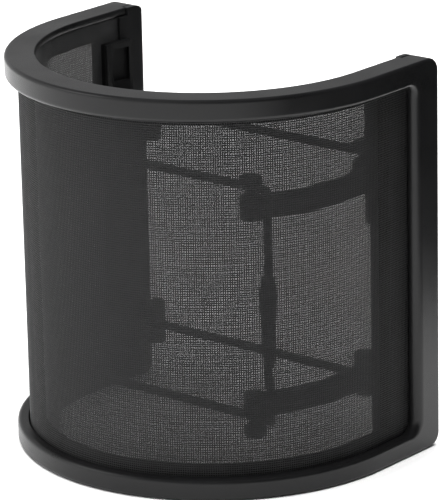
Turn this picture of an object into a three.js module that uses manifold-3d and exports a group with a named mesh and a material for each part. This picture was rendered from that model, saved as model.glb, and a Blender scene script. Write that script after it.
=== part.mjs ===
// U-shaped microphone pop filter: a moulded frame holds two curved metal screens, and a holder with
// elastic cords inside the U grips the microphone. Millimetres, +Z up, the curved front faces -Y.
// Every piece is drawn about the centre of the frame's arc; the last lines move the whole assembly
// so that its origin is the centre of its base. Right-hand pieces are drawn, left-hand ones mirrored.
import * as THREE from "three";
import { mergeVertices } from "three/addons/utils/BufferGeometryUtils.js";
import Module from "manifold-3d";

const wasm = await Module();
wasm.setup();

// ---- driving dimensions ----
const HEIGHT = 130; // overall
const OUTER_R = 66.7; // plan radius of the frame, half of its width
const LEG = 31.5; // straight legs behind the arc's centre
const RIM_WIDTH = 10; // radial width of the top and bottom plates
const PLATE = 2.3; // thickness of those plates
const WALL = 3.8; // thickness of the frame's outer wall
const BOTTOM_LIP = 6.7; // height of the bottom rim's outer lip
const TOP_LIP = 7.2; // height of the top rim's outer lip
const WINDOW_BACK = 19.6; // where the window ends and the posts begin
const WINDOW_R = 4.5; // corner radius of the window
const BACK_R = 4.5; // corner radius of the posts, seen from the side
const EDGE = 1.1; // rounding of the outer edges
const GAP = 0.3; // running gap between neighbouring pieces
const BACK_WALL = 3; // thickness of the posts' rear wall

const COVER_PROUD = 0.85; // the post covers stand in from the rim's inner edge by this
const COVER_INNER = OUTER_R - RIM_WIDTH - COVER_PROUD;
const COVER_OUTER = 58;
const COVER_FRONT = 19;
const COVER_R = 2; // rounding of their inner rear edges
const PLATE_END = 22.9; // where the top and bottom plates end on the covers
const SEAT_X = COVER_OUTER + GAP;

const MESH_END = 22.5; // the screens' rear edges, inside the posts
const INNER_MESH = [57, 57.5]; // inner and outer plan radius
const OUTER_MESH = [62.3, 62.6];
const SPACER = [INNER_MESH[1] + GAP, OUTER_MESH[0] - GAP];
const SPACER_HEIGHT = 6.4;
const SIDE_SPACER_FRONT = 11.2;

const CLAMP_Z = 58.6; // height of the middle of the microphone holder
const CORD_R = 1.4; // radius of the elastic cords
const ARM_Z = 32.5; // from the middle of the holder to the middle of an arm
const ARM_HEIGHT = 7.6;
const ARM_THICK = 3;
const ARM_R = 51.7; // plan radius of the arms' middle line
const ARM_ROOT = 9.9; // where an arm ends, in front of its boss
const TIP_ANGLE = THREE.MathUtils.degToRad(37.8); // from the arc's side round to the peg
const PEG = { neck: 1.6, head: 3.7, neckHeight: 3.4, headHeight: 3.3 };
const ARM_TOP = CLAMP_Z + ARM_Z + ARM_HEIGHT / 2;
const ARM_BOTTOM = ARM_TOP - ARM_HEIGHT;
const BEND = 2; // bend of a cord round the edge of an arm
const STRAND_Z = ARM_TOP + 1.7; // height of the upper cords
const HOOK_PEG = [45, 20.3]; // the rear pegs in plan
const HOOK_ROOT = [51.5, 19.5];
const FRONT_RUN_R = 55.2; // where the front cord runs down outside the arms
const FRONT_RUN_ANGLE = THREE.MathUtils.degToRad(33.1);
const REAR_RUN = [51.2, 23.5]; // where the rear cord runs down behind the hooks
const LAP = 2 * CORD_R + 0.15; // spacing of the lapped cord ends in a sleeve
const SLEEVE = { low: 39, high: 69, wall: 0.3, clear: 0.15 };

const CARRIER = { low: PLATE + GAP, high: 120, front: 10.2, back: 20.8 };
const CARRIER_PLAN = [
  [56.7, CARRIER.front],
  [55.3, CARRIER.front],
  [52.3, CARRIER.back],
  [55.5, 22],
  [55.5, COVER_FRONT - GAP],
  [56.7, COVER_FRONT - GAP],
];
// Above the arms the carrier has a thicker front edge, outside the roots of the arms.
const SHOULDER = { low: 78, front: 9.4, innerX: 53.5, back: 13, backX: 54.5 };
const POCKET = { from: 3.6, to: 9.7, deep: 1.2, low: 106.8, high: 118 };
const SCREW = { y: 15.5, dz: 15, seatX: 54.6, head: 2.3, headHeight: 1.2, shank: 1.1, tipX: 60.5 };

// ---- helpers ----
const ARC_SEGMENTS = 16; // an arc has twice this many chords
const FAR = 200; // longer than anything on the part

function solid(geometry) {
  const bare = new THREE.BufferGeometry();
  bare.setAttribute("position", geometry.getAttribute("position"));
  bare.setIndex(geometry.getIndex());
  const merged = mergeVertices(bare, 1e-3);
  const vertProperties = merged.attributes.position.array;
  const triVerts = new Uint32Array(merged.index.array);
  return new wasm.Manifold(new wasm.Mesh({ numProp: 3, vertProperties, triVerts }));
}

function geometryOf(manifold) {
  const mesh = manifold.getMesh();
  const geometry = new THREE.BufferGeometry();
  geometry.setAttribute("position", new THREE.BufferAttribute(mesh.vertProperties, 3));
  geometry.setIndex(new THREE.BufferAttribute(mesh.triVerts, 1));
  return geometry;
}

// The same geometry mirrored in the plane z = level.
function flipped(geometry, level) {
  const copy = geometry.clone();
  copy.scale(1, 1, -1);
  copy.translate(0, 0, 2 * level);
  const flat = copy.index ? copy.toNonIndexed() : copy;
  const p = flat.attributes.position.array;
  for (let i = 0; i < p.length; i += 9) {
    for (let k = 0; k < 3; k++) {
      [p[i + k], p[i + 3 + k]] = [p[i + 3 + k], p[i + k]];
    }
  }
  return flat;
}

function slab(shape, low, high, curveSegments = ARC_SEGMENTS) {
  const geometry = new THREE.ExtrudeGeometry(shape, {
    depth: high - low,
    bevelEnabled: false,
    curveSegments,
  });
  return geometry.translate(0, 0, low);
}

function box(low, high) {
  const size = high.map((value, i) => value - low[i]);
  const middle = high.map((value, i) => (value + low[i]) / 2);
  return new THREE.BoxGeometry(...size).translate(...middle);
}

function polygon(points) {
  return new THREE.Shape(points.map(([x, y]) => new THREE.Vector2(x, y)));
}

// Turns an outline drawn as (y, z) into a solid that runs along X.
function alongX(shape, from, to) {
  const geometry = slab(shape, from, to, 3);
  const toYZX = new THREE.Matrix4().set(0, 0, 1, 0, 1, 0, 0, 0, 0, 1, 0, 0, 0, 0, 0, 1);
  return geometry.applyMatrix4(toYZX);
}

// The area inside a U of plan radius r whose legs run back to y = end.
function uArea(r, end) {
  const shape = new THREE.Shape();
  shape.moveTo(-r, end);
  shape.lineTo(-r, 0);
  shape.absarc(0, 0, r, Math.PI, 2 * Math.PI, false);
  shape.lineTo(r, end);
  return shape;
}

// A U-shaped band between two plan radii.
function uBand(inner, outer, end) {
  const shape = uArea(outer, end);
  shape.lineTo(inner, end);
  shape.lineTo(inner, 0);
  shape.absarc(0, 0, inner, 2 * Math.PI, Math.PI, true);
  shape.lineTo(-inner, end);
  return shape;
}

// A rectangle in (y, z), open-ended to the front, whose two rear corners are rounded.
function backRounded(back, low, high, radius) {
  const shape = new THREE.Shape();
  shape.moveTo(-FAR, low);
  shape.lineTo(back - radius, low);
  shape.absarc(back - radius, low + radius, radius, -Math.PI / 2, 0, false);
  shape.lineTo(back, high - radius);
  shape.absarc(back - radius, high - radius, radius, 0, Math.PI / 2, false);
  shape.lineTo(-FAR, high);
  return shape;
}

function lathe(profile, segments) {
  const points = profile.map(([r, z]) => new THREE.Vector2(r, z));
  const geometry = new THREE.LatheGeometry(points, segments);
  return geometry.rotateX(Math.PI / 2);
}

function atRight(radius, angle) {
  return [radius * Math.cos(angle), -radius * Math.sin(angle)];
}

// ---- frame ----
function sideBlock() {
  return solid(alongX(backRounded(LEG, 0, HEIGHT, BACK_R), -FAR, FAR));
}

function outerFrame() {
  const block = new THREE.ExtrudeGeometry(uArea(OUTER_R, LEG), {
    depth: HEIGHT - 2 * EDGE,
    bevelEnabled: true,
    bevelSize: EDGE,
    bevelThickness: EDGE,
    bevelOffset: -EDGE,
    bevelSegments: 3,
    curveSegments: ARC_SEGMENTS,
  }).translate(0, 0, EDGE);
  const inside = OUTER_R - WALL;
  const cavity = slab(uArea(inside, LEG - BACK_WALL), PLATE, HEIGHT - PLATE);
  const core = slab(uArea(OUTER_R - RIM_WIDTH, FAR), -1, HEIGHT + 1);
  const windowSide = backRounded(WINDOW_BACK, BOTTOM_LIP, HEIGHT - TOP_LIP, WINDOW_R);
  const seats = box([-SEAT_X, PLATE_END, -1], [SEAT_X, FAR, HEIGHT + 1]);
  return solid(block)
    .subtract(solid(cavity))
    .subtract(solid(core))
    .subtract(solid(alongX(windowSide, -FAR, FAR)))
    .subtract(solid(seats))
    .intersect(sideBlock());
}

// A post cover is a plate whose inner rear edge is rounded in plan.
function postCover() {
  const outline = polygon([
    [COVER_INNER, COVER_FRONT],
    [COVER_OUTER, COVER_FRONT],
    [COVER_OUTER, LEG],
  ]);
  outline.absarc(COVER_INNER + COVER_R, LEG - COVER_R, COVER_R, Math.PI / 2, Math.PI, false);
  const plate = slab(outline, 0, HEIGHT, 3);
  const notchBack = PLATE_END + GAP;
  const top = box([0, 0, HEIGHT - PLATE - GAP], [FAR, notchBack, FAR]);
  const bottom = box([0, 0, -FAR], [FAR, notchBack, PLATE + GAP]);
  const rebate = box(
    [INNER_MESH[0] - GAP, 0, PLATE + GAP],
    [FAR, PLATE_END, HEIGHT - PLATE - GAP],
  );
  return solid(plate)
    .subtract(solid(top))
    .subtract(solid(bottom))
    .subtract(solid(rebate))
    .intersect(sideBlock());
}

// ---- screens and the strips between them ----
const SCREEN_LOW = PLATE + GAP;
const SCREEN_HIGH = HEIGHT - PLATE - GAP;

function screwHole(radius, from, to, z) {
  const hole = new THREE.CylinderGeometry(radius, radius, to - from, 12);
  hole.rotateZ(Math.PI / 2);
  return hole.translate((from + to) / 2, SCREW.y, z);
}

// Cuts the holes for the two screws of each side through a piece.
function drilled(piece, radius, from, to, sides) {
  let result = piece;
  for (const side of sides) {
    for (const dz of [-SCREW.dz, SCREW.dz]) {
      const ends = [side * from, side * to].sort((a, b) => a - b);
      result = result.subtract(solid(screwHole(radius, ...ends, CLAMP_Z + dz)));
    }
  }
  return result;
}

function innerMesh() {
  const screen = solid(slab(uBand(...INNER_MESH, MESH_END), SCREEN_LOW, SCREEN_HIGH));
  return drilled(screen, 1.7, 55, 60, [-1, 1]);
}

function sideSpacer() {
  const low = SCREEN_LOW + SPACER_HEIGHT + GAP;
  const high = SCREEN_HIGH - SPACER_HEIGHT - GAP;
  const bar = box([SPACER[0], SIDE_SPACER_FRONT, low], [SPACER[1], MESH_END, high]);
  return drilled(solid(bar), 1.4, 55, 61, [1]);
}

// ---- microphone holder ----
// A peg that stands on an arm: a narrow neck for the cord under a domed head.
function peg([x, y]) {
  const neckTop = ARM_TOP + PEG.neckHeight;
  const top = neckTop + PEG.headHeight;
  const profile = [
    [0, ARM_TOP - 1],
    [PEG.neck, ARM_TOP - 1],
    [PEG.neck, neckTop],
    [PEG.head, neckTop],
    [PEG.head, top - 1.2],
    [PEG.head - 0.7, top - 0.4],
    [PEG.head - 1.8, top],
    [0, top],
  ];
  return lathe(profile, 16).translate(x, y, 0);
}

function disc([x, y]) {
  const profile = [
    [0, ARM_BOTTOM],
    [PEG.head, ARM_BOTTOM],
    [PEG.head, ARM_TOP],
    [0, ARM_TOP],
  ];
  return lathe(profile, 16).translate(x, y, 0);
}

// An upper right arm: straight from its root, then round with the screen to the peg at its tip.
function arm() {
  const inner = ARM_R - ARM_THICK / 2;
  const outer = ARM_R + ARM_THICK / 2;
  const shape = new THREE.Shape();
  shape.moveTo(outer, ARM_ROOT);
  shape.lineTo(inner, ARM_ROOT);
  shape.lineTo(inner, 0);
  shape.absarc(0, 0, inner, 0, -TIP_ANGLE, true);
  shape.absarc(0, 0, outer, -TIP_ANGLE, 0, false);
  const tip = atRight(ARM_R, TIP_ANGLE);
  return solid(slab(shape, ARM_BOTTOM, ARM_TOP, 5))
    .add(solid(disc(tip)))
    .add(solid(peg(tip)));
}

// The block that holds an arm's root, and the short hook with the rear peg.
function boss() {
  const block = box([49.6, CARRIER.front, ARM_BOTTOM], [55, 21.5, ARM_TOP]);
  const along = new THREE.Vector2(HOOK_PEG[0] - HOOK_ROOT[0], HOOK_PEG[1] - HOOK_ROOT[1]);
  const side = new THREE.Vector2(-along.y, along.x).setLength(ARM_THICK / 2);
  const hook = polygon([
    [HOOK_ROOT[0] + side.x, HOOK_ROOT[1] + side.y],
    [HOOK_PEG[0] + side.x, HOOK_PEG[1] + side.y],
    [HOOK_PEG[0] - side.x, HOOK_PEG[1] - side.y],
    [HOOK_ROOT[0] - side.x, HOOK_ROOT[1] - side.y],
  ]);
  const joined = solid(block)
    .add(solid(slab(hook, ARM_BOTTOM, ARM_TOP)))
    .add(solid(disc(HOOK_PEG)))
    .add(solid(peg(HOOK_PEG)));
  return geometryOf(joined);
}

// A shallow rectangular pocket in the carrier's sloping inner face.
function pocket() {
  const start = new THREE.Vector2(...CARRIER_PLAN[1]);
  const along = new THREE.Vector2(...CARRIER_PLAN[2]).sub(start).normalize();
  const inward = new THREE.Vector2(-along.y, along.x);
  const corner = (distance, depth) => {
    const point = start.clone().addScaledVector(along, distance);
    return point.addScaledVector(inward, -depth).toArray();
  };
  const outline = polygon([
    corner(POCKET.from, -1),
    corner(POCKET.to, -1),
    corner(POCKET.to, POCKET.deep),
    corner(POCKET.from, POCKET.deep),
  ]);
  return slab(outline, POCKET.low, POCKET.high);
}

function carrier() {
  const strip = solid(slab(polygon(CARRIER_PLAN), CARRIER.low, CARRIER.high));
  const shoulder = polygon([
    [56.7, CARRIER.front],
    [55.3, CARRIER.front],
    [SHOULDER.innerX, SHOULDER.front],
    [SHOULDER.backX, SHOULDER.back],
    [56.7, SHOULDER.back],
  ]);
  const middle = (CARRIER.low + CARRIER.high) / 2;
  const upperBoss = boss();
  let piece = strip
    .add(solid(slab(shoulder, SHOULDER.low, CARRIER.high)))
    .add(solid(upperBoss))
    .add(solid(flipped(upperBoss, CLAMP_Z)))
    .subtract(solid(pocket()))
    .subtract(solid(flipped(pocket(), middle)));
  piece = drilled(piece, 1.4, 50, 60, [1]);
  return drilled(piece, SCREW.head + GAP, 50, SCREW.seatX, [1]);
}

// A pan-head screw along X with a cross recess; its head faces the middle of the U.
function screw() {
  const headX = SCREW.seatX - 0.1 - SCREW.headHeight;
  const length = SCREW.tipX - headX;
  const profile = [
    [0, 0],
    [SCREW.head - 0.5, 0],
    [SCREW.head, 0.5],
    [SCREW.head, SCREW.headHeight],
    [SCREW.shank, SCREW.headHeight],
    [SCREW.shank, length - 1],
    [0, length],
  ];
  let piece = solid(lathe(profile, 16));
  piece = piece.subtract(solid(box([-1.3, -0.3, -1], [1.3, 0.3, 0.6])));
  piece = piece.subtract(solid(box([-0.3, -1.3, -1], [0.3, 1.3, 0.6])));
  return geometryOf(piece).rotateY(Math.PI / 2).translate(headX, SCREW.y, 0);
}

// ---- elastic cords ----
// Each corner runs from the middle of an upper strand, past a peg, over its arm and down.
function frontCorner() {
  const [peg1] = atRight(ARM_R, TIP_ANGLE);
  const strandY = atRight(ARM_R, TIP_ANGLE)[1] + PEG.neck + CORD_R + GAP;
  const round = (radius, z) => [...atRight(radius, FRONT_RUN_ANGLE), z];
  const edge = FRONT_RUN_R - BEND;
  const diagonal = BEND * Math.SQRT1_2;
  return [
    [peg1 / 2, strandY, STRAND_Z],
    [peg1 - 2, strandY, STRAND_Z],
    [peg1 + 1, strandY - 0.1, STRAND_Z],
    round(edge, STRAND_Z),
    round(edge + diagonal, ARM_TOP + diagonal),
    round(FRONT_RUN_R, ARM_TOP),
    round(FRONT_RUN_R, ARM_BOTTOM),
    round(FRONT_RUN_R - 0.4, CLAMP_Z + 14),
  ];
}

function rearCorner() {
  const strandY = HOOK_PEG[1] + PEG.neck + CORD_R + GAP;
  const [runX, runY] = REAR_RUN;
  const diagonal = BEND * Math.SQRT1_2;
  return [
    [HOOK_PEG[0] / 2, strandY, STRAND_Z],
    [HOOK_PEG[0] - 2, strandY, STRAND_Z],
    [HOOK_PEG[0] + 2, strandY, STRAND_Z],
    [runX - BEND, runY, STRAND_Z],
    [runX - BEND + diagonal, runY, ARM_TOP + diagonal],
    [runX, runY, ARM_TOP],
    [runX, runY, ARM_BOTTOM],
    [runX, runY, CLAMP_Z + 14],
  ];
}

// The whole loop: up from its first end, round four corners, and back to lie beside itself.
function loopRoute(corner, lapSide) {
  const points = corner();
  const turned = (sideX, sideZ) =>
    points.map(([x, y, z]) => [sideX * x, y, sideZ > 0 ? z : 2 * CLAMP_Z - z]);
  const [x, y] = points[points.length - 1];
  const beside = [x + lapSide[0] * LAP, y + lapSide[1] * LAP];
  const route = [
    [x, y, SLEEVE.low + 1],
    [x, y, CLAMP_Z],
    ...turned(1, 1).reverse(),
    ...turned(-1, 1),
    [-x, y, CLAMP_Z],
    ...turned(-1, -1).reverse(),
    ...turned(1, -1).slice(0, -1),
    [x, y, SLEEVE.low - 8],
    [...beside, SLEEVE.low - 3],
    [...beside, SLEEVE.low - 1],
    [...beside, SLEEVE.low + 1],
    [...beside, CLAMP_Z],
    [...beside, SLEEVE.high - 1],
  ];
  return route.map((point) => new THREE.Vector3(...point));
}

function cordLoop(corner, lapSide) {
  const path = new THREE.CatmullRomCurve3(loopRoute(corner, lapSide), false, "centripetal");
  const section = new THREE.Shape();
  section.absarc(0, 0, CORD_R, 0, 2 * Math.PI, false);
  return new THREE.ExtrudeGeometry(section, {
    extrudePath: path,
    steps: Math.round(path.getLength() / 2.4),
    curveSegments: 4,
  });
}

// The sleeve over a loop's lapped ends, as a tube with a long round section.
function sleeve(corner, lapSide) {
  const points = corner();
  const [x, y] = points[points.length - 1];
  const turn = Math.atan2(lapSide[1], lapSide[0]);
  const outline = (radius) => {
    const shape = new THREE.Shape();
    shape.absarc(LAP / 2, 0, radius, -Math.PI / 2, Math.PI / 2, false);
    shape.absarc(-LAP / 2, 0, radius, Math.PI / 2, 1.5 * Math.PI, false);
    return shape;
  };
  const shape = outline(CORD_R + SLEEVE.clear + SLEEVE.wall);
  shape.holes.push(outline(CORD_R + SLEEVE.clear));
  const tube = slab(shape, SLEEVE.low + 0.5, SLEEVE.high, 5);
  tube.rotateZ(turn);
  return tube.translate(x + (lapSide[0] * LAP) / 2, y + (lapSide[1] * LAP) / 2, 0);
}

// The lapped ends lie side by side along the screen in front, and along the hook behind.
const FRONT_LAP = [-Math.sin(FRONT_RUN_ANGLE), -Math.cos(FRONT_RUN_ANGLE)];
const REAR_LAP = new THREE.Vector2(HOOK_PEG[0] - HOOK_ROOT[0], HOOK_PEG[1] - HOOK_ROOT[1])
  .normalize()
  .toArray();

// ---- finishes ----
const finish = (color, roughness, metalness) =>
  new THREE.MeshStandardMaterial({ color, roughness, metalness });
const plastic = finish(0x1b1b1c, 0.5, 0);
const screenMetal = finish(0x242425, 0.45, 0.7);
const cordFabric = finish(0x121213, 0.9, 0);
const shrinkTube = finish(0x151516, 0.6, 0);
const screwSteel = finish(0x2a2a2b, 0.4, 0.8);

// ---- assembly ----
const popFilter = new THREE.Group();
const upright = { x: 1, z: 1 };

function place(name, geometry, material, side = upright) {
  const mesh = new THREE.Mesh(geometry, material);
  mesh.name = name;
  mesh.scale.set(side.x, 1, side.z);
  mesh.position.z = side.z < 0 ? 2 * CLAMP_Z : 0;
  popFilter.add(mesh);
}

place("outer_frame", geometryOf(outerFrame()), plastic);
place("inner_mesh", geometryOf(innerMesh()), screenMetal);
place("outer_mesh", slab(uBand(...OUTER_MESH, MESH_END), SCREEN_LOW, SCREEN_HIGH), screenMetal);
const rimStrip = uBand(...SPACER, MESH_END);
place("top_spacer", slab(rimStrip, SCREEN_HIGH - SPACER_HEIGHT, SCREEN_HIGH), plastic);
place("bottom_spacer", slab(rimStrip, SCREEN_LOW, SCREEN_LOW + SPACER_HEIGHT), plastic);

const cover = geometryOf(postCover());
const spacerBar = geometryOf(sideSpacer());
const bracket = geometryOf(carrier());
const armPiece = geometryOf(arm());
const screwPiece = screw();
for (const [sideName, x] of [["left", -1], ["right", 1]]) {
  place(`${sideName}_post_cover`, cover, plastic, { x, z: 1 });
  place(`${sideName}_spacer`, spacerBar, plastic, { x, z: 1 });
  place(`${sideName}_carrier`, bracket, plastic, { x, z: 1 });
  for (const [levelName, z] of [["upper", 1], ["lower", -1]]) {
    place(`${sideName}_${levelName}_arm`, armPiece, plastic, { x, z });
    const raised = screwPiece.clone().translate(0, 0, CLAMP_Z + SCREW.dz);
    place(`${sideName}_${levelName}_screw`, raised, screwSteel, { x, z });
  }
}

place("front_elastic", cordLoop(frontCorner, FRONT_LAP), cordFabric);
place("front_sleeve", sleeve(frontCorner, FRONT_LAP), shrinkTube);
place("rear_elastic", cordLoop(rearCorner, REAR_LAP), cordFabric);
place("rear_sleeve", sleeve(rearCorner, REAR_LAP), shrinkTube);

// The origin is the centre of the base of the whole frame.
popFilter.position.y = (OUTER_R + LEG) / 2 - LEG;

export default popFilter;
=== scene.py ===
"""The looks of a U-shaped microphone pop filter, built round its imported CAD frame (Blender 4.5).

Lengths are written in millimetres about the centre of the frame's arc and turned into metres of
the row frame by mm(). The curved front faces -Y and +Z is up.
"""

import math

import bmesh
import bpy
import numpy as np
from mathutils import Matrix, Vector


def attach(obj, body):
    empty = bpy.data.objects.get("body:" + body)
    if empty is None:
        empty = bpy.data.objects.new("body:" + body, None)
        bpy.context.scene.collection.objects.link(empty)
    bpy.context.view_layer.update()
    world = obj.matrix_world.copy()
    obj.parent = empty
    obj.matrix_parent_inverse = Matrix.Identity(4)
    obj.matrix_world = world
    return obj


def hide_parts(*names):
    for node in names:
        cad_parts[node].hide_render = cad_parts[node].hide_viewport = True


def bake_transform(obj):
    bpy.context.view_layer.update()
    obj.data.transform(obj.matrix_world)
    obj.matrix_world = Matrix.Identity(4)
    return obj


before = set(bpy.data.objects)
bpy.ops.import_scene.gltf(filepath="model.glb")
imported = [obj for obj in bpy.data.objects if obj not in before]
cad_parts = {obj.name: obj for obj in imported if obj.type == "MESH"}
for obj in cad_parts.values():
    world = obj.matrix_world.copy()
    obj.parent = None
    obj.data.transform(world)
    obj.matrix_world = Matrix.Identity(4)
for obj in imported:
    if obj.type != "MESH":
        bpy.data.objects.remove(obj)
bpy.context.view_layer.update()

# ---- sizes shared with the CAD model ----
ARC_TO_ROW = 17.6  # the arc's centre lies this far behind the origin
HEIGHT = 130.0
OUTER_R = 66.7
LEG = 31.5
RIM_WIDTH = 10.0
PLATE = 2.3
WALL = 3.8
BOTTOM_LIP = 6.7
TOP_LIP = 7.2
WINDOW_BACK = 19.6
WINDOW_R = 4.5
BACK_R = 4.5
EDGE = 1.1
BACK_WALL = 3.0
SEAT_X = 58.3
PLATE_END = 22.9
MESH_END = 22.5
INNER_MESH_R = 57.25
OUTER_MESH_R = 62.45
SCREEN_LOW = 2.6
SCREEN_HIGH = 127.4
CLAMP_Z = 58.6
CORD_R = 1.4
ARM_HEIGHT = 7.6
ARM_THICK = 3.0
ARM_R = 51.7
ARM_ROOT = 9.9
TIP_ANGLE = math.radians(37.8)
PEG_NECK = 1.6
PEG_HEAD = 3.7
NECK_HEIGHT = 3.4
HEAD_HEIGHT = 3.3
ARM_TOP = CLAMP_Z + 32.5 + ARM_HEIGHT / 2
ARM_BOTTOM = ARM_TOP - ARM_HEIGHT
BEND = 2.0
STRAND_Z = ARM_TOP + 1.7
HOOK_PEG = (45.0, 20.3)
HOOK_ROOT = (51.5, 19.5)
FRONT_RUN_R = 55.2
FRONT_RUN_ANGLE = math.radians(33.1)
REAR_RUN = (51.2, 23.5)
LAP = 0.5  # inside the sleeve the two ends are pressed together
SLEEVE_LOW = 39.0
SLEEVE_HIGH = 69.0
CARRIER_LOW = 2.6
CARRIER_HIGH = 120.0
CARRIER_PLAN = [(56.7, 10.2), (55.3, 10.2), (52.3, 20.8), (55.5, 22.0), (55.5, 18.7), (56.7, 18.7)]
SHOULDER_PLAN = [(56.7, 10.2), (55.3, 10.2), (53.5, 9.4), (54.5, 13.0), (56.7, 13.0)]
SHOULDER_LOW = 78.0
POCKET_FROM, POCKET_TO, POCKET_DEEP = 3.6, 9.7, 1.2
POCKET_LOW, POCKET_HIGH = 106.8, 118.0
SCREW_Y = 15.5
SCREW_DZ = 15.0
SCREW_SEAT_X = 54.6
SCREW_HEAD = 2.3


def mm(x, y, z):
    return Vector((x, y + ARC_TO_ROW, z)) / 1000


# ---- camera ----
def make_camera():
    azimuth = math.radians(39.9)
    elevation = math.radians(17.478)
    roll = math.radians(-1.237)
    back = Vector(
        (
            math.sin(azimuth) * math.cos(elevation),
            -math.cos(azimuth) * math.cos(elevation),
            math.sin(elevation),
        )
    )
    level = Vector((math.cos(azimuth), math.sin(azimuth), 0))
    upright = back.cross(level)
    right = level * math.cos(roll) + upright * math.sin(roll)
    up = upright * math.cos(roll) - level * math.sin(roll)
    data = bpy.data.cameras.new("camera")
    data.sensor_fit = "VERTICAL"
    data.sensor_height = 36
    data.lens = 270.4
    data.clip_start = 0.05
    data.clip_end = 50
    camera = bpy.data.objects.new("camera", data)
    bpy.context.scene.collection.objects.link(camera)
    matrix = Matrix((right, up, back)).transposed().to_4x4()
    matrix.translation = Vector((0.006511, 0.012224, 0.064160)) + back * 1.2133
    camera.matrix_world = matrix
    bpy.context.scene.camera = camera


# ---- materials ----
class Nodes:
    """A material's node tree, with short calls for the nodes that the finishes use."""

    def __init__(self, name):
        self.material = bpy.data.materials.new(name)
        self.material.use_nodes = True
        self.tree = self.material.node_tree
        self.shader = self.tree.nodes["Principled BSDF"]
        self.coords = self.add("ShaderNodeTexCoord").outputs["Object"]

    def add(self, kind, **values):
        node = self.tree.nodes.new(kind)
        for key, value in values.items():
            setattr(node, key, value)
        return node

    def join(self, source, target):
        self.tree.links.new(source, target)

    def noise(self, scale, detail=2.0, rough=0.5, vector=None):
        node = self.add("ShaderNodeTexNoise")
        node.inputs["Scale"].default_value = scale
        node.inputs["Detail"].default_value = detail
        node.inputs["Roughness"].default_value = rough
        self.join(vector or self.coords, node.inputs["Vector"])
        return node.outputs["Fac"]

    def ramp(self, value, low, high, start=0.3, end=0.7):
        node = self.add("ShaderNodeMapRange")
        node.inputs["From Min"].default_value = start
        node.inputs["From Max"].default_value = end
        node.inputs["To Min"].default_value = low
        node.inputs["To Max"].default_value = high
        self.join(value, node.inputs["Value"])
        return node.outputs["Result"]

    def math(self, operation, first, second=None):
        node = self.add("ShaderNodeMath", operation=operation)
        for socket, value in zip(node.inputs, (first, second)):
            if value is None:
                continue
            if isinstance(value, (int, float)):
                socket.default_value = value
            else:
                self.join(value, socket)
        return node.outputs[0]

    def tones(self, value, dark, light):
        node = self.add("ShaderNodeMix", data_type="RGBA")
        node.inputs["A"].default_value = (*dark, 1)
        node.inputs["B"].default_value = (*light, 1)
        self.join(value, node.inputs["Factor"])
        self.join(node.outputs["Result"], self.shader.inputs["Base Color"])

    def bump(self, height, strength, distance):
        node = self.add("ShaderNodeBump")
        node.inputs["Strength"].default_value = strength
        node.inputs["Distance"].default_value = distance
        self.join(height, node.inputs["Height"])
        self.join(node.outputs["Normal"], self.shader.inputs["Normal"])


def moulded(name, dark, light, roughness, grain, bump):
    """Satin moulded plastic: fine spark-eroded grain, slow changes of gloss and a trace of tone."""
    made = Nodes(name)
    fine = made.noise(grain, 3, 0.6)
    slow = made.noise(38, 3, 0.55)
    made.tones(made.ramp(slow, 0, 1), dark, light)
    spread = made.math("ADD", made.ramp(slow, -0.05, 0.05), made.ramp(fine, -0.04, 0.04))
    made.join(made.math("ADD", spread, roughness), made.shader.inputs["Roughness"])
    made.bump(fine, bump, 0.00006)
    made.shader.inputs["Specular IOR Level"].default_value = 0.32
    return made.material


def wire_paint(name, dark, light, roughness):
    """Black paint on woven wire: the thickness of the coat changes a little from place to place."""
    made = Nodes(name)
    patches = made.noise(260, 2, 0.5)
    made.tones(made.ramp(patches, 0, 1), dark, light)
    gloss = made.ramp(patches, roughness - 0.06, roughness + 0.06)
    made.join(gloss, made.shader.inputs["Roughness"])
    made.shader.inputs["Metallic"].default_value = 0.0
    return made.material


def braid(name, dark, light):
    """Braided cord cover: two sets of strands that cross on the cord's own route coordinates."""
    made = Nodes(name)
    route = made.add("ShaderNodeUVMap", uv_map="route").outputs["UV"]
    parts = made.add("ShaderNodeSeparateXYZ")
    made.join(route, parts.inputs["Vector"])
    turn = made.math("MULTIPLY", parts.outputs["X"], 8 * math.pi)
    along = made.math("MULTIPLY", parts.outputs["Y"], 2 * math.pi)
    one = made.math("SINE", made.math("ADD", along, turn))
    other = made.math("SINE", made.math("SUBTRACT", along, turn))
    weave = made.math("MAXIMUM", one, other)
    made.tones(made.ramp(weave, 0, 1, -0.6, 1), dark, light)
    made.shader.inputs["Roughness"].default_value = 0.85
    made.shader.inputs["Sheen Weight"].default_value = 0.25
    made.shader.inputs["Sheen Roughness"].default_value = 0.5
    made.bump(weave, 0.6, 0.00012)
    return made.material


def shrink(name, dark, light):
    """Heat-shrink tube: matt, with faint lengthwise puckers."""
    made = Nodes(name)
    mapping = made.add("ShaderNodeMapping")
    mapping.inputs["Scale"].default_value = (1, 1, 0.12)
    made.join(made.coords, mapping.inputs["Vector"])
    pucker = made.noise(900, 3, 0.55, mapping.outputs["Vector"])
    made.tones(made.ramp(pucker, 0, 1), dark, light)
    made.join(made.ramp(pucker, 0.45, 0.62), made.shader.inputs["Roughness"])
    made.bump(pucker, 0.35, 0.0002)
    return made.material


def steel(name, dark, light):
    made = Nodes(name)
    patches = made.noise(700, 2, 0.5)
    made.tones(made.ramp(patches, 0, 1), dark, light)
    made.shader.inputs["Metallic"].default_value = 0.8
    made.join(made.ramp(patches, 0.3, 0.45), made.shader.inputs["Roughness"])
    return made.material


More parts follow.
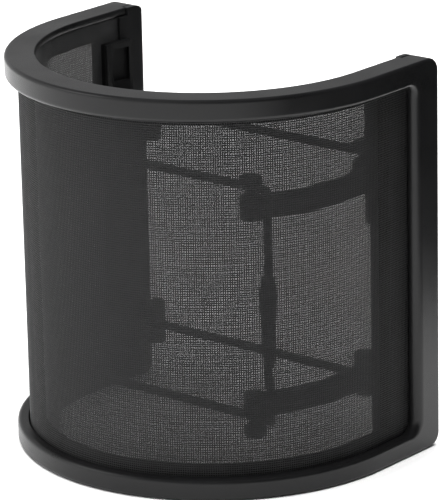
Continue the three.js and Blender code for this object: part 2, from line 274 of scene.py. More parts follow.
PLASTIC = moulded("frame_plastic", (0.006, 0.006, 0.0063), (0.009, 0.009, 0.0094), 0.33, 5200, 0.3)
INNER_PLASTIC = moulded(
    "holder_plastic", (0.004, 0.004, 0.0042), (0.006, 0.006, 0.0063), 0.5, 4200, 0.35
)
STRIP = moulded("strip_plastic", (0.004, 0.004, 0.004), (0.006, 0.006, 0.006), 0.7, 3000, 0.5)
OUTER_PAINT = wire_paint("outer_wire_paint", (0.014, 0.014, 0.0145), (0.022, 0.022, 0.0225), 0.5)
# Painted light: the inner wires have the same black paint as the outer ones, but are toned several times
# lighter to stand in for light the dim inner screen does not receive.
INNER_PAINT_PAINTED_LIGHT = wire_paint("inner_wire_paint_painted_light", (0.05, 0.05, 0.051), (0.07, 0.07, 0.0715), 0.5)
BRAID = braid("cord_braid", (0.006, 0.006, 0.0062), (0.016, 0.016, 0.0165))
SHRINK = shrink("shrink_tube", (0.010, 0.010, 0.010), (0.016, 0.016, 0.016))
SCREW_STEEL = steel("screw_steel", (0.05, 0.05, 0.052), (0.085, 0.085, 0.088))


# ---- mesh helpers ----
def link(mesh, name, material, body, slot, *nodes):
    """A finished piece: it rides on a body and stands for its CAD nodes; its slot argument is not used."""
    obj = bpy.data.objects.new(name, mesh)
    bpy.context.scene.collection.objects.link(obj)
    mesh.materials.clear()
    mesh.materials.append(material)
    if body:
        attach(obj, body)
    if nodes:
        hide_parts(*nodes)
    return obj


def mesh_of(bm, name, sharp=35.0):
    """Turns a bmesh in millimetres about the arc's centre into a smooth mesh in metres."""
    bmesh.ops.recalc_face_normals(bm, faces=bm.faces)
    if bm.calc_volume(signed=True) < 0:
        bmesh.ops.reverse_faces(bm, faces=bm.faces)
    for face in bm.faces:
        face.smooth = True
    for edge in bm.edges:
        if len(edge.link_faces) == 2 and edge.calc_face_angle(0) > math.radians(sharp):
            edge.smooth = False
    for vert in bm.verts:
        vert.co = mm(*vert.co)
    mesh = bpy.data.meshes.new(name)
    bm.to_mesh(mesh)
    bm.free()
    return mesh


def flip(bm, side_x, side_z):
    """Mirrors a bmesh in x and about the middle of the holder, as the side and level ask."""
    for vert in bm.verts:
        vert.co.x *= side_x
        if side_z < 0:
            vert.co.z = 2 * CLAMP_Z - vert.co.z


def grid_faces(bm, rings, closed_ring=True, closed_path=False, caps=True):
    """Faces between successive rings of vertices, with caps at the ends of an open path."""
    n = len(rings[0])
    pairs = list(zip(rings, rings[1:]))
    if closed_path:
        pairs.append((rings[-1], rings[0]))
    for first, second in pairs:
        for i in range(n if closed_ring else n - 1):
            j = (i + 1) % n
            bm.faces.new((first[i], first[j], second[j], second[i]))
    if caps and not closed_path:
        bm.faces.new(rings[0])
        bm.faces.new(list(reversed(rings[-1])))


def rounded(corners, radius, steps):
    """A closed outline whose corners are rounded: a list of (x, y) points."""
    points = []
    n = len(corners)
    for i, corner in enumerate(corners):
        here = Vector(corner)
        before = (Vector(corners[i - 1]) - here).normalized()
        after = (Vector(corners[(i + 1) % n]) - here).normalized()
        half = before.angle(after) / 2
        reach = radius / math.tan(half)
        centre = here + (before + after).normalized() * (radius / math.sin(half))
        start = here + before * reach - centre
        end = here + after * reach - centre
        for k in range(steps + 1):
            t = k / steps
            mixed = start * (1 - t) + end * t
            points.append(tuple(centre + mixed.normalized() * radius))
    return points


def extruded(bm, outline, low, high, bevel=0.0, steps=2):
    """A prism over an outline, with its top and bottom edges rounded."""
    n = len(outline)
    insets = []
    for i, point in enumerate(outline):
        before = Vector(point) - Vector(outline[i - 1])
        after = Vector(outline[(i + 1) % n]) - Vector(point)
        normals = [Vector((v.y, -v.x)).normalized() for v in (before, after) if v.length > 1e-9]
        insets.append(sum(normals, Vector((0, 0))).normalized())
    area = sum(
        outline[i - 1][0] * outline[i][1] - outline[i][0] * outline[i - 1][1] for i in range(n)
    )
    outward = 1 if area > 0 else -1
    levels = []
    if bevel:
        for k in range(steps, -1, -1):
            angle = math.pi / 2 * k / steps
            levels.append((low + bevel * (1 - math.sin(angle)), bevel * (1 - math.cos(angle))))
        upper = [(high - (z - low), inset) for z, inset in reversed(levels)]
        levels = levels + upper
    else:
        levels = [(low, 0), (high, 0)]
    rings = []
    for z, inset in levels:
        ring = []
        for point, normal in zip(outline, insets):
            x = point[0] - outward * normal.x * inset
            y = point[1] - outward * normal.y * inset
            ring.append(bm.verts.new((x, y, z)))
        rings.append(ring)
    grid_faces(bm, rings)


def lathed(bm, profile, centre, segments=40):
    """A surface of revolution about a vertical axis; the profile starts and ends on the axis."""
    rings = []
    for radius, z in profile:
        if radius < 1e-9:
            rings.append([bm.verts.new((centre[0], centre[1], z))])
            continue
        ring = []
        for k in range(segments):
            turn = 2 * math.pi * k / segments
            x = centre[0] + radius * math.cos(turn)
            ring.append(bm.verts.new((x, centre[1] + radius * math.sin(turn), z)))
        rings.append(ring)
    for first, second in zip(rings, rings[1:]):
        for k in range(segments):
            j = (k + 1) % segments
            if len(first) == 1:
                bm.faces.new((first[0], second[j], second[k]))
            elif len(second) == 1:
                bm.faces.new((first[k], first[j], second[0]))
            else:
                bm.faces.new((first[k], first[j], second[j], second[k]))


def arc(centre, radius, start, end, steps):
    """Points (u, v) on an arc, with its angles in degrees."""
    angles = [math.radians(start + (end - start) * k / steps) for k in range(steps + 1)]
    return [(centre[0] + radius * math.cos(a), centre[1] + radius * math.sin(a)) for a in angles]


# ---- the moulded frame ----
ARC_LENGTH = OUTER_R * math.pi / 2  # from the middle of the front to the start of a leg


def bent(s, r, z):
    """Wraps the unrolled frame round the U: s runs along it, r outwards."""
    if abs(s) <= ARC_LENGTH:
        angle = s / OUTER_R
        return (r * math.sin(angle), -r * math.cos(angle), z)
    return (math.copysign(r, s), abs(s) - ARC_LENGTH, z)


def frame_stations():
    """Pairs of points (s, z) round the unrolled frame: on its outline and on the window's."""
    end = ARC_LENGTH + LEG
    window_end = ARC_LENGTH + WINDOW_BACK
    arcs = [ARC_LENGTH * (2 * k / 80 - 1) for k in range(81)]
    outer_legs = [3.0, 8.0, 13.0, 18.0, PLATE_END - 0.02, PLATE_END + 0.02]
    window_legs = [2.5, 6.5, 10.0, 12.5, 14.0, 14.6]
    top = HEIGHT - TOP_LIP
    stations = []
    for s in arcs:
        stations.append(((s, HEIGHT), (s, top), (0, -1), (0, 1)))
    for a, b in zip(outer_legs, window_legs):
        stations.append(((ARC_LENGTH + a, HEIGHT), (ARC_LENGTH + b, top), (0, -1), (0, 1)))
    steps = 10
    for k in range(steps + 1):
        angle = math.pi / 2 * (1 - k / steps)
        way = (math.cos(angle), math.sin(angle))
        outer = (end - BACK_R + BACK_R * way[0], HEIGHT - BACK_R + BACK_R * way[1])
        inner = (window_end - WINDOW_R + WINDOW_R * way[0], top - WINDOW_R + WINDOW_R * way[1])
        stations.append((outer, inner, (-way[0], -way[1]), way))
    for t in (0.12, 0.3, 0.5, 0.7, 0.88):
        outer = (end, (HEIGHT - BACK_R) * (1 - t) + BACK_R * t)
        inner = (window_end, (top - WINDOW_R) * (1 - t) + (BOTTOM_LIP + WINDOW_R) * t)
        stations.append((outer, inner, (-1, 0), (1, 0)))
    for k in range(steps + 1):
        angle = -math.pi / 2 * k / steps
        way = (math.cos(angle), math.sin(angle))
        outer = (end - BACK_R + BACK_R * way[0], BACK_R + BACK_R * way[1])
        inner = (
            window_end - WINDOW_R + WINDOW_R * way[0],
            BOTTOM_LIP + WINDOW_R + WINDOW_R * way[1],
        )
        stations.append((outer, inner, (-way[0], -way[1]), way))
    for a, b in zip(reversed(outer_legs), reversed(window_legs)):
        stations.append(((ARC_LENGTH + a, 0), (ARC_LENGTH + b, BOTTOM_LIP), (0, 1), (0, -1)))
    for s in reversed(arcs):
        stations.append(((s, 0), (s, BOTTOM_LIP), (0, 1), (0, -1)))
    half = [x for x in stations if x[0][0] > ARC_LENGTH]
    mirrored = [
        ((-o[0], o[1]), (-w[0], w[1]), (-n[0], n[1]), (-m[0], m[1])) for o, w, n, m in reversed(half)
    ]
    return stations + mirrored


def frame_profile(outer, window, inward, outward):
    """The moulding's L-shaped section at one station, as points (s, z, r)."""
    on_plate = abs(inward[1]) > 0.99 and abs(outer[0]) < ARC_LENGTH + PLATE_END
    inner_r = OUTER_R - RIM_WIDTH if on_plate else SEAT_X
    depth = PLATE * abs(inward[1]) + BACK_WALL * abs(inward[0])

    def from_outer(distance, r):
        return (outer[0] + inward[0] * distance, outer[1] + inward[1] * distance, r)

    def from_window(distance, r):
        return (window[0] + outward[0] * distance, window[1] + outward[1] * distance, r)

    small = 0.45
    bead = 1.3 + 1.6 * abs(inward[0])
    points = [from_outer(small - v, inner_r + small - u) for u, v in arc((0, 0), small, 0, 90, 3)]
    points.append(from_outer(0, inner_r + small + 0.3))
    points.append(from_outer(0, OUTER_R - EDGE - 0.25))
    points += [
        from_outer(EDGE - v, OUTER_R - EDGE + u) for u, v in reversed(arc((0, 0), EDGE, 0, 90, 6))
    ]
    points.append(from_outer(EDGE + 0.25, OUTER_R))
    points.append(from_window(bead + 0.25, OUTER_R))
    points += [from_window(bead - v, OUTER_R - bead + u) for u, v in arc((0, 0), bead, 0, 90, 5)]
    points.append(from_window(0, OUTER_R - bead - 0.2))
    points.append(from_window(0, OUTER_R - WALL + 0.5))
    points += [
        from_window(0.4 - v, OUTER_R - WALL + 0.4 - u)
        for u, v in reversed(arc((0, 0), 0.4, 0, 90, 3))
    ]
    points.append(from_window(0.7, OUTER_R - WALL))
    points.append(from_outer(depth, OUTER_R - WALL))
    points.append(from_outer(depth, inner_r + 0.4))
    points += [from_outer(depth - 0.3 + v, inner_r + 0.3 - u) for u, v in arc((0, 0), 0.3, 0, 90, 2)][::-1]
    return points


def outer_frame():
    bm = bmesh.new()
    rings = []
    for station in frame_stations():
        profile = frame_profile(*station)
        rings.append([bm.verts.new(bent(s, r, z)) for s, z, r in profile])
    grid_faces(bm, rings, closed_path=True)
    bmesh.ops.remove_doubles(bm, verts=bm.verts, dist=1e-5)
    mesh = mesh_of(bm, "frame_moulding", 40)
    return link(mesh, "frame_moulding", PLASTIC, "frame", "black_plastic", "outer_frame")


# ---- post covers ----
def from_cad(node, name, material, slot, width, segments=3):
    """A CAD node's own shape with its flats cleaned up and its sharp edges rounded."""
    bm = bmesh.new()
    bm.from_mesh(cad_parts[node].data)
    bmesh.ops.remove_doubles(bm, verts=bm.verts, dist=1e-7)
    bmesh.ops.dissolve_limit(
        bm, angle_limit=math.radians(1), verts=bm.verts, edges=bm.edges, use_dissolve_boundaries=False
    )
    edges = [e for e in bm.edges if len(e.link_faces) == 2 and e.calc_face_angle(0) > math.radians(28)]
    bmesh.ops.bevel(
        bm,
        geom=edges,
        offset=width / 1000,
        segments=segments,
        profile=0.5,
        affect="EDGES",
        clamp_overlap=True,
    )
    for vert in bm.verts:
        vert.co = vert.co * 1000 - Vector((0, ARC_TO_ROW, 0))
    return link(mesh_of(bm, name, 30), name, material, "frame", slot, node)


# ---- woven screens ----
def screen(name, radius, pitch, width, thick, shift, material, node):
    """Two sets of wires at a right angle: uprights side by side, and hoops that follow the U."""
    quarter = radius * math.pi / 2
    total = 2 * (quarter + MESH_END)
    verts, faces = [], []

    def place_point(s, r):
        if abs(s) <= quarter:
            return (r * math.sin(s / radius), -r * math.cos(s / radius))
        return (math.copysign(r, s), abs(s) - quarter)

    def wire(rings):
        start = len(verts)
        for ring in rings:
            verts.extend(ring)
        for i in range(len(rings) - 1):
            a = start + 4 * i
            for k in range(4):
                m = (k + 1) % 4
                faces.append((a + k, a + m, a + 4 + m, a + 4 + k))

    count = int(total / pitch)
    for i in range(count):
        s = -total / 2 + (i + 0.5 + shift) * total / count
        ring = []
        for ds, dr in ((-width / 2, 0), (0, -thick / 2), (width / 2, 0), (0, thick / 2)):
            ring.append(place_point(s + ds, radius - 0.07 + dr))
        wire([[(x, y, SCREEN_LOW) for x, y in ring], [(x, y, SCREEN_HIGH) for x, y in ring]])
    stops = [-total / 2, -quarter - MESH_END / 2]
    stops += [quarter * (2 * k / 44 - 1) for k in range(45)]
    stops += [quarter + MESH_END / 2, total / 2]
    rows = int((SCREEN_HIGH - SCREEN_LOW) / pitch)
    for j in range(rows):
        z = SCREEN_LOW + (j + 0.5 + shift * 0.5) * (SCREEN_HIGH - SCREEN_LOW) / rows
        rings = []
        for s in stops:
            ring = []
            for dz, dr in ((-width / 2, 0), (0, -thick / 2), (width / 2, 0), (0, thick / 2)):
                x, y = place_point(s, radius + 0.07 + dr)
                ring.append((x, y, z + dz))
            rings.append(ring)
        wire(rings)
    points = [tuple(mm(*v)) for v in verts]
    mesh = bpy.data.meshes.new(name)
    mesh.from_pydata(points, [], faces)
    mesh.shade_smooth()
    return link(mesh, name, material, "frame", "screen_metal", node)


# ---- microphone holder ----
def peg(bm, centre):
    """A disc through the arm's height, a narrow neck and a domed head."""
    disc = [(0, ARM_BOTTOM)]
    disc += [(PEG_HEAD - 0.5 + u, ARM_BOTTOM + 0.5 + v) for u, v in arc((0, 0), 0.5, -90, 0, 4)]
    disc += [(PEG_HEAD - 0.5 + u, ARM_TOP - 0.5 + v) for u, v in arc((0, 0), 0.5, 0, 90, 4)]
    disc += [(PEG_NECK + 0.9, ARM_TOP)]
    disc += [(PEG_NECK + 0.6 - u, ARM_TOP + 0.6 - v) for u, v in arc((0, 0), 0.6, 90, 0, 4)]
    neck_top = ARM_TOP + NECK_HEIGHT
    top = neck_top + HEAD_HEIGHT
    disc += [(PEG_NECK, neck_top - 0.3), (PEG_NECK + 0.3, neck_top)]
    disc += [(PEG_HEAD - 0.3 + u, neck_top + 0.3 + v) for u, v in arc((0, 0), 0.3, -90, 0, 3)]
    disc += [(PEG_HEAD, top - 1.5)]
    disc += [(PEG_HEAD - 1.4 + u, top - 1.4 + v) for u, v in arc((0, 0), 1.4, 5, 85, 6)]
    disc += [(PEG_HEAD * 0.3, top), (0, top)]
    lathed(bm, disc, centre)


def bar(bm, route, thick, low, high, radius=0.5):
    """A flat bar with rounded long edges that follows a route in plan."""
    half = thick / 2
    section = rounded([(-half, low), (half, low), (half, high), (-half, high)], radius, 3)
    rings = []
    n = len(route)
    for i, point in enumerate(route):
        ahead = Vector(route[min(i + 1, n - 1)]) - Vector(route[max(i - 1, 0)])
        side = Vector((-ahead.y, ahead.x)).normalized()
        ring = []
        for across, z in section:
            ring.append(bm.verts.new((point[0] + side.x * across, point[1] + side.y * across, z)))
        rings.append(ring)
    grid_faces(bm, rings)


def tip():
    return (ARM_R * math.cos(TIP_ANGLE), -ARM_R * math.sin(TIP_ANGLE))


def holder_arm(side_name, level_name, side_x, side_z):
    bm = bmesh.new()
    steps = 26
    route = [(ARM_R, ARM_ROOT), (ARM_R, ARM_ROOT * 0.6), (ARM_R, ARM_ROOT * 0.3)]
    route += [
        (ARM_R * math.cos(TIP_ANGLE * k / steps), -ARM_R * math.sin(TIP_ANGLE * k / steps))
        for k in range(steps + 1)
    ]
    bar(bm, route, ARM_THICK, ARM_BOTTOM, ARM_TOP)
    peg(bm, tip())
    flip(bm, side_x, side_z)
    node = f"{side_name}_{level_name}_arm"
    name = f"{side_name}_{level_name}_holder_arm"
    mesh = mesh_of(bm, name)
    return link(mesh, name, INNER_PLASTIC, f"{side_name}_arms", "inner_plastic", node)


def cut(obj, cutter_bm):
    """Subtracts a cutter, drawn in millimetres about the arc's centre, from a piece."""
    cutter = bpy.data.objects.new("cutter", mesh_of(cutter_bm, "cutter"))
    bpy.context.scene.collection.objects.link(cutter)
    modifier = obj.modifiers.new("cut", "BOOLEAN")
    modifier.operation = "DIFFERENCE"
    modifier.solver = "EXACT"
    modifier.object = cutter
    graph = bpy.context.evaluated_depsgraph_get()
    mesh = bpy.data.meshes.new_from_object(obj.evaluated_get(graph))
    if not mesh.polygons:
        raise ValueError(f"the cut left nothing of {obj.name}")
    obj.modifiers.clear()
    obj.data = mesh
    bpy.data.objects.remove(cutter)


def merge(bm, part):
    mesh = bpy.data.meshes.new("part")
    part.to_mesh(mesh)
    part.free()
    bm.from_mesh(mesh)
    bpy.data.meshes.remove(mesh)


def carrier(side_name, side_x):
    """The wedge-shaped bracket with its pockets, the bosses for the arms and the rear hooks."""
    name = f"{side_name}_bracket"
    bm = bmesh.new()
    plan = [(x, y) for x, y in CARRIER_PLAN]
    extruded(bm, plan, CARRIER_LOW, CARRIER_HIGH)
    flip(bm, side_x, 1)
    body = bpy.data.objects.new(name, mesh_of(bm, name))
    bpy.context.scene.collection.objects.link(body)
    start = Vector(CARRIER_PLAN[1])
    along = (Vector(CARRIER_PLAN[2]) - start).normalized()
    into = Vector((-along.y, along.x))
    middle = (CARRIER_LOW + CARRIER_HIGH) / 2
    cutter = bmesh.new()
    for level in (1, -1):
        outline = []
        for distance, depth in (
            (POCKET_FROM, -1),
            (POCKET_TO, -1),
            (POCKET_TO, POCKET_DEEP),
            (POCKET_FROM, POCKET_DEEP),
        ):
            point = start + along * distance - into * depth
            outline.append((point.x * side_x, point.y))
        low, high = POCKET_LOW, POCKET_HIGH
        if level < 0:
            low, high = 2 * middle - high, 2 * middle - low
        extruded(cutter, outline, low, high)
        head = (side_x * (SCREW_SEAT_X - 3), SCREW_Y, CLAMP_Z + level * SCREW_DZ)
        bmesh.ops.create_cone(
            cutter,
            cap_ends=True,
            segments=32,
            radius1=SCREW_HEAD + 0.3,
            radius2=SCREW_HEAD + 0.3,
            depth=6,
            matrix=Matrix.Translation(head) @ Matrix.Rotation(math.pi / 2, 4, "Y"),
        )
    cut(body, cutter)
    bm = bmesh.new()
    bm.from_mesh(body.data)
    bpy.data.objects.remove(body)
    for vert in bm.verts:
        vert.co = vert.co * 1000 - Vector((0, ARC_TO_ROW, 0))
    bmesh.ops.dissolve_limit(bm, angle_limit=math.radians(1), verts=bm.verts, edges=bm.edges)
    edges = [e for e in bm.edges if len(e.link_faces) == 2 and e.calc_face_angle(0) > math.radians(28)]
    bmesh.ops.bevel(
        bm, geom=edges, offset=0.3, segments=3, profile=0.5, affect="EDGES", clamp_overlap=True
    )
    part = bmesh.new()
    extruded(part, rounded(SHOULDER_PLAN, 0.25, 3), SHOULDER_LOW, CARRIER_HIGH, 0.3, 3)
    flip(part, side_x, 1)
    merge(bm, part)
    for level in (1, -1):
        part = bmesh.new()
        block = rounded([(49.6, 10.2), (55.4, 10.2), (55.4, 21.5), (49.6, 21.5)], 0.6, 3)
        extruded(part, block, ARM_BOTTOM, ARM_TOP, 0.5, 3)
        root = (HOOK_ROOT[0] + 1.2, HOOK_ROOT[1] - 0.8)
        bar(part, [root, HOOK_PEG], ARM_THICK, ARM_BOTTOM, ARM_TOP)
        peg(part, HOOK_PEG)
        flip(part, side_x, level)
        merge(bm, part)
    mesh = mesh_of(bm, name, 30)
    return link(mesh, name, INNER_PLASTIC, "frame", "inner_plastic", f"{side_name}_carrier")


def screw(side_name, level_name, side_x, side_z):
    """A pan-head screw with a cross recess; its head faces the middle of the U."""
    head_x = SCREW_SEAT_X - 0.1 - 1.2
    bm = bmesh.new()
    shank, seat, tip_z = 1.1, 1.2, 7.2
    profile = [(0, 0), (0.7, 0), (SCREW_HEAD - 0.7, 0.06)]
    profile += [(SCREW_HEAD - 0.5 + u, 0.6 - v) for u, v in reversed(arc((0, 0), 0.5, 0, 80, 4))]
    profile += [(SCREW_HEAD, seat), (shank, seat), (shank, tip_z - 1), (0, tip_z)]
    lathed(bm, profile, (0, 0), 32)
    name = f"{side_name}_{level_name}_pan_screw"
    obj = bpy.data.objects.new(name, mesh_of(bm, name))
    bpy.context.scene.collection.objects.link(obj)
    cutter = bmesh.new()
    long, half = 1.3, 0.275
    quarter = [(half, half), (half, long), (-half, long)]
    cross = []
    for _ in range(4):
        cross += quarter
        quarter = [(-y, x) for x, y in quarter]
    extruded(cutter, cross, -1, 0.6)
    cut(obj, cutter)
    bm = bmesh.new()
    bm.from_mesh(obj.data)
    bpy.data.objects.remove(obj)
    for vert in bm.verts:
        x, y, z = vert.co * 1000 - Vector((0, ARC_TO_ROW, 0))
        vert.co = (head_x + z, SCREW_Y + y, CLAMP_Z + SCREW_DZ - x)
    flip(bm, side_x, side_z)
    mesh = mesh_of(bm, name, 30)
    node = f"{side_name}_{level_name}_screw"
    return link(mesh, name, SCREW_STEEL, "frame", "screw_metal", node)


# ---- elastic cords ----
def front_corner():
    """Half a strand, past a peg, over the arm's edge and down to the middle of the side."""
    x, y = tip()
    strand = y + PEG_NECK + CORD_R + 0.3

    def over(radius, z):
        return (radius * math.cos(FRONT_RUN_ANGLE), -radius * math.sin(FRONT_RUN_ANGLE), z)

    edge = FRONT_RUN_R - BEND
    diagonal = BEND * math.sqrt(0.5)
    return [
        (x / 2, strand, STRAND_Z),
        (x - 2, strand, STRAND_Z),
        (x + 1, strand - 0.1, STRAND_Z),
        over(edge, STRAND_Z),
        over(edge + diagonal, ARM_TOP + diagonal),
        over(FRONT_RUN_R, ARM_TOP),
        over(FRONT_RUN_R, ARM_BOTTOM),
        over(FRONT_RUN_R - 0.4, CLAMP_Z + 14),
    ]


def rear_corner():
    strand = HOOK_PEG[1] + PEG_NECK + CORD_R + 0.3
    x, y = REAR_RUN
    diagonal = BEND * math.sqrt(0.5)
    return [
        (HOOK_PEG[0] / 2, strand, STRAND_Z),
        (HOOK_PEG[0] - 2, strand, STRAND_Z),
        (HOOK_PEG[0] + 2, strand, STRAND_Z),
        (x - BEND, y, STRAND_Z),
        (x - BEND + diagonal, y, ARM_TOP + diagonal),
        (x, y, ARM_TOP),
        (x, y, ARM_BOTTOM),
        (x, y, CLAMP_Z + 14),
    ]


def loop_route(corner, lap_side):
    """The whole loop: up from its first end, round four corners, and back to lie beside itself."""
    points = corner()

    def turned(side_x, side_z):
        return [(side_x * x, y, z if side_z > 0 else 2 * CLAMP_Z - z) for x, y, z in points]

    x, y, _ = points[-1]
    beside = (x + lap_side[0] * LAP, y + lap_side[1] * LAP)
    return [
        (x, y, SLEEVE_LOW + 1),
        (x, y, CLAMP_Z),
        *reversed(turned(1, 1)),
        *turned(-1, 1),
        (-x, y, CLAMP_Z),
        *reversed(turned(-1, -1)),
        *turned(1, -1)[:-1],
        (x, y, SLEEVE_LOW - 8),
        (*beside, SLEEVE_LOW - 3),
        (*beside, SLEEVE_LOW - 1),
        (*beside, SLEEVE_LOW + 1),
        (*beside, CLAMP_Z),
        (*beside, SLEEVE_HIGH - 1),
    ]


def spline(points, spacing):
    """Points at an even spacing on the centripetal Catmull-Rom curve through the given ones."""
    points = [Vector(p) for p in points]
    padded = [2 * points[0] - points[1], *points, 2 * points[-1] - points[-2]]
    fine = []
    for i in range(len(points) - 1):
        p0, p1, p2, p3 = padded[i : i + 4]
        t0 = 0.0
        t1 = t0 + max((p1 - p0).length ** 0.5, 1e-4)
        t2 = t1 + max((p2 - p1).length ** 0.5, 1e-4)
        t3 = t2 + max((p3 - p2).length ** 0.5, 1e-4)
        for k in range(24):
            t = t1 + (t2 - t1) * k / 24
            a1 = p0 * ((t1 - t) / (t1 - t0)) + p1 * ((t - t0) / (t1 - t0))
            a2 = p1 * ((t2 - t) / (t2 - t1)) + p2 * ((t - t1) / (t2 - t1))
            a3 = p2 * ((t3 - t) / (t3 - t2)) + p3 * ((t - t2) / (t3 - t2))
            b1 = a1 * ((t2 - t) / (t2 - t0)) + a2 * ((t - t0) / (t2 - t0))
            b2 = a2 * ((t3 - t) / (t3 - t1)) + a3 * ((t - t1) / (t3 - t1))
            fine.append(b1 * ((t2 - t) / (t2 - t1)) + b2 * ((t - t1) / (t2 - t1)))
    fine.append(points[-1])
    lengths = np.concatenate([[0], np.cumsum([(b - a).length for a, b in zip(fine, fine[1:])])])
    count = max(2, round(lengths[-1] / spacing))
    wanted = np.linspace(0, lengths[-1], count + 1)
    columns = [np.interp(wanted, lengths, [p[i] for p in fine]) for i in range(3)]
    return [Vector(p) for p in zip(*columns)]


def tube(name, path, radius, start_length=0.0, sides=16, capped=(True, True)):
    """A round tube with route coordinates: once round it, and along it in cord diameters."""
    bm = bmesh.new()
    uv = bm.loops.layers.uv.new("route")
    tangent = (path[1] - path[0]).normalized()
    across = tangent.orthogonal().normalized()
    rings, lengths = [], [start_length]
    for i, point in enumerate(path):
        if i:
            lengths.append(lengths[-1] + (point - path[i - 1]).length)
        ahead = (path[min(i + 1, len(path) - 1)] - path[max(i - 1, 0)]).normalized()
        across = (tangent.rotation_difference(ahead) @ across).normalized()
        tangent = ahead
        beside = tangent.cross(across)
        ring = []
        for k in range(sides):
            turn = 2 * math.pi * k / sides
            outward = across * math.cos(turn) + beside * math.sin(turn)
            ring.append(bm.verts.new(point + radius * outward))
        rings.append(ring)
    for i in range(len(rings) - 1):
        for k in range(sides):
            m = (k + 1) % sides
            face = bm.faces.new((rings[i][k], rings[i][m], rings[i + 1][m], rings[i + 1][k]))
            marks = ((k, i), (k + 1, i), (k + 1, i + 1), (k, i + 1))
            for loop, (turn, step) in zip(face.loops, marks):
                loop[uv].uv = (turn / sides, lengths[step] / (2 * radius))
    if capped[0]:
        bm.faces.new(rings[0])
    if capped[1]:
        bm.faces.new(list(reversed(rings[-1])))
    return mesh_of(bm, name, 60)


def sleeve(name, corner, lap_side, body, node):
    """The tube over a loop's lapped ends: wide where both ends are inside, narrow below."""
    x, y, _ = corner()[-1]
    side = Vector(lap_side)
    other = Vector((-side.y, side.x))
    centre = Vector((x, y)) + side * LAP / 2
    radius = CORD_R + 0.27
    levels = [
        (SLEEVE_LOW + 0.6, -0.3, 0.2), (SLEEVE_LOW + 0.5, -0.05, 0.3), (SLEEVE_LOW + 2.5, 0.0, 0.4),
        (SLEEVE_LOW + 9, 0.03, 1.0), (CLAMP_Z - 4, -0.02, 1.6), (CLAMP_Z + 3, 0.03, 2.1),
        (SLEEVE_HIGH - 5, 0.0, 2.1), (SLEEVE_HIGH - 1.8, -0.03, 1.4), (SLEEVE_HIGH, -0.1, 0.6),
        (SLEEVE_HIGH - 0.1, -0.35, 0.3),
    ]
    bm = bmesh.new()
    rings = []
    for z, extra, gap in levels:
        ring = []
        for half, start in ((1, -90), (-1, 90)):
            for u, v in arc((half * gap / 2, 0), radius + extra, start, start + 180, 10):
                point = centre + side * u + other * v
                ring.append(bm.verts.new((point.x, point.y, z)))
        rings.append(ring)
    grid_faces(bm, rings)
    bmesh.ops.remove_doubles(bm, verts=bm.verts, dist=1e-5)
    mesh = mesh_of(bm, name, 60)
    return link(mesh, name, SHRINK, body, "shrink_tube", node)


def cords():
    front_lap = (-math.sin(FRONT_RUN_ANGLE), -math.cos(FRONT_RUN_ANGLE))
    rear_lap = Vector((HOOK_PEG[0] - HOOK_ROOT[0], HOOK_PEG[1] - HOOK_ROOT[1])).normalized()
    path = spline(loop_route(front_corner, front_lap), 0.9)
    crossings = [i for i in range(1, len(path)) if path[i - 1].x * path[i].x <= 0]
    first, second = crossings[0], crossings[-1]
    for point in (path[first], path[second]):
        point.x = 0
    stretches = {
        "front_cord_right_end": (path[: first + 1], (True, False), "right_arms", 1),
        "front_cord_left": (path[first : second + 1], (False, False), "left_arms", -1),
        "front_cord_right": (path[second:], (False, True), "right_arms", 1),
    }
    for name, (part, capped, body, side) in stretches.items():
        mesh = tube(name, part, CORD_R, capped=capped)
        cord = link(mesh, name, BRAID, None, "cord_fabric", "front_elastic")
        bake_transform(cord)
    path = spline(loop_route(rear_corner, rear_lap), 0.9)
    mesh = tube("rear_cord", path, CORD_R)
    link(mesh, "rear_cord", BRAID, "frame", "cord_fabric", "rear_elastic")
    sleeve("front_cord_sleeve", front_corner, front_lap, "right_arms", "front_sleeve")
    sleeve("rear_cord_sleeve", rear_corner, rear_lap, "frame", "rear_sleeve")


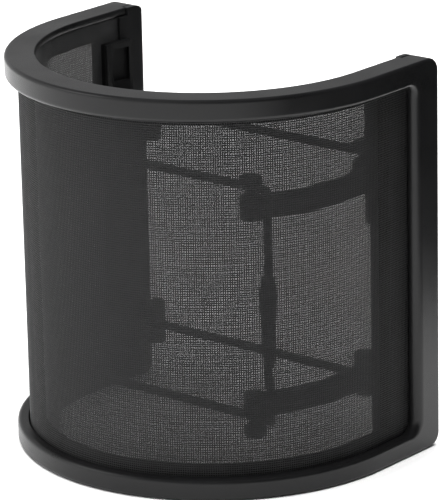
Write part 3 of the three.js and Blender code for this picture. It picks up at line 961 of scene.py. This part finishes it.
# ---- stage ----
def make_stage():
    bm = bmesh.new()
    bmesh.ops.create_grid(bm, x_segments=1, y_segments=1, size=1)
    mesh = bpy.data.meshes.new("floor")
    bm.to_mesh(mesh)
    bm.free()
    made = Nodes("floor_paper")
    made.tones(made.ramp(made.noise(6, 2), 0, 1), (0.86, 0.86, 0.86), (0.88, 0.88, 0.88))
    made.shader.inputs["Roughness"].default_value = 0.9
    made.shader.inputs["Specular IOR Level"].default_value = 0.2
    mesh.materials.append(made.material)
    floor = bpy.data.objects.new("floor", mesh)
    floor.scale = (4, 4, 1)
    floor.location.z = -0.0002
    bpy.context.scene.collection.objects.link(floor)

    # a black flag off to the right and rear, as photographers use to keep one side dark
    bm = bmesh.new()
    corners = [(0.22, 1.2, 0), (0.22, -0.9, 0), (0.22, -0.9, 1.0), (0.22, 1.2, 1.0)]
    turn = Matrix.Rotation(math.radians(39.9), 4, "Z")
    bm.faces.new([bm.verts.new(turn @ Vector(c)) for c in corners])
    mesh = bpy.data.meshes.new("flag")
    bm.to_mesh(mesh)
    bm.free()
    made = Nodes("flag_felt")
    made.tones(made.ramp(made.noise(30, 2), 0, 1), (0.004, 0.004, 0.004), (0.006, 0.006, 0.006))
    made.shader.inputs["Roughness"].default_value = 1.0
    made.shader.inputs["Specular IOR Level"].default_value = 0.0
    mesh.materials.append(made.material)
    flag = bpy.data.objects.new("flag", mesh)
    flag.visible_camera = False
    flag.visible_shadow = False
    flag.visible_diffuse = False
    bpy.context.scene.collection.objects.link(flag)

    world = bpy.data.worlds.new("studio")
    bpy.context.scene.world = world
    world.use_nodes = True
    tree = world.node_tree
    background = tree.nodes["Background"]
    coords = tree.nodes.new("ShaderNodeTexCoord")
    dot = tree.nodes.new("ShaderNodeVectorMath")
    dot.operation = "DOT_PRODUCT"
    dot.inputs[1].default_value = (-0.76, -0.65, 0.0)
    tree.links.new(coords.outputs["Generated"], dot.inputs[0])
    level = tree.nodes.new("ShaderNodeMapRange")
    level.inputs["From Min"].default_value = -0.6
    level.inputs["From Max"].default_value = 0.8
    level.inputs["To Min"].default_value = 0.1
    level.inputs["To Max"].default_value = 1.0
    tree.links.new(dot.outputs["Value"], level.inputs["Value"])
    parts = tree.nodes.new("ShaderNodeSeparateXYZ")
    tree.links.new(coords.outputs["Generated"], parts.inputs["Vector"])
    ceiling = tree.nodes.new("ShaderNodeMapRange")
    ceiling.inputs["From Min"].default_value = 0.25
    ceiling.inputs["From Max"].default_value = 0.8
    ceiling.inputs["To Min"].default_value = 1.0
    ceiling.inputs["To Max"].default_value = 0.05
    tree.links.new(parts.outputs["Z"], ceiling.inputs["Value"])
    both = tree.nodes.new("ShaderNodeMath")
    both.operation = "MULTIPLY"
    tree.links.new(level.outputs["Result"], both.inputs[0])
    tree.links.new(ceiling.outputs["Result"], both.inputs[1])
    tree.links.new(both.outputs["Value"], background.inputs["Strength"])
    background.inputs["Color"].default_value = (1, 1, 1, 1)

    overhead = lamp("overhead", (-0.1, 0.2, 1.6), aim=(-0.05, 0.1, 0), size=2.2, power=82)
    overhead.visible_glossy = False
    lamp("front_left", (-1.1, -1.2, 1.1), aim=(0, 0, 0.05), size=1.0, power=7)


def lamp(name, place, aim, size, power):
    data = bpy.data.lights.new(name, "AREA")
    data.shape = "DISK"
    data.size = size
    data.energy = power
    obj = bpy.data.objects.new(name, data)
    obj.location = place
    obj.rotation_euler = (Vector(aim) - Vector(place)).to_track_quat("-Z", "Y").to_euler()
    bpy.context.scene.collection.objects.link(obj)
    return obj


bpy.context.scene.view_settings.view_transform = "Standard"
make_camera()
cords()
outer_frame()
for side in ("left", "right"):
    from_cad(f"{side}_post_cover", f"{side}_post_lining", PLASTIC, "black_plastic", 1.4)
screen(
    "outer_screen", OUTER_MESH_R, pitch=0.74, width=0.32, thick=0.2, shift=0.0,
    material=OUTER_PAINT, node="outer_mesh",
)
screen(
    "inner_screen", INNER_MESH_R, pitch=0.32, width=0.228, thick=0.12, shift=0.25,
    material=INNER_PAINT_PAINTED_LIGHT, node="inner_mesh",
)
for side, x in (("left", -1), ("right", 1)):
    carrier(side, x)
    for level, z in (("upper", 1), ("lower", -1)):
        holder_arm(side, level, x, z)
        screw(side, level, x, z)
for node in ("top_spacer", "bottom_spacer", "left_spacer", "right_spacer"):
    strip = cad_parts[node]
    strip.data.materials.clear()
    strip.data.materials.append(STRIP)
make_stage()
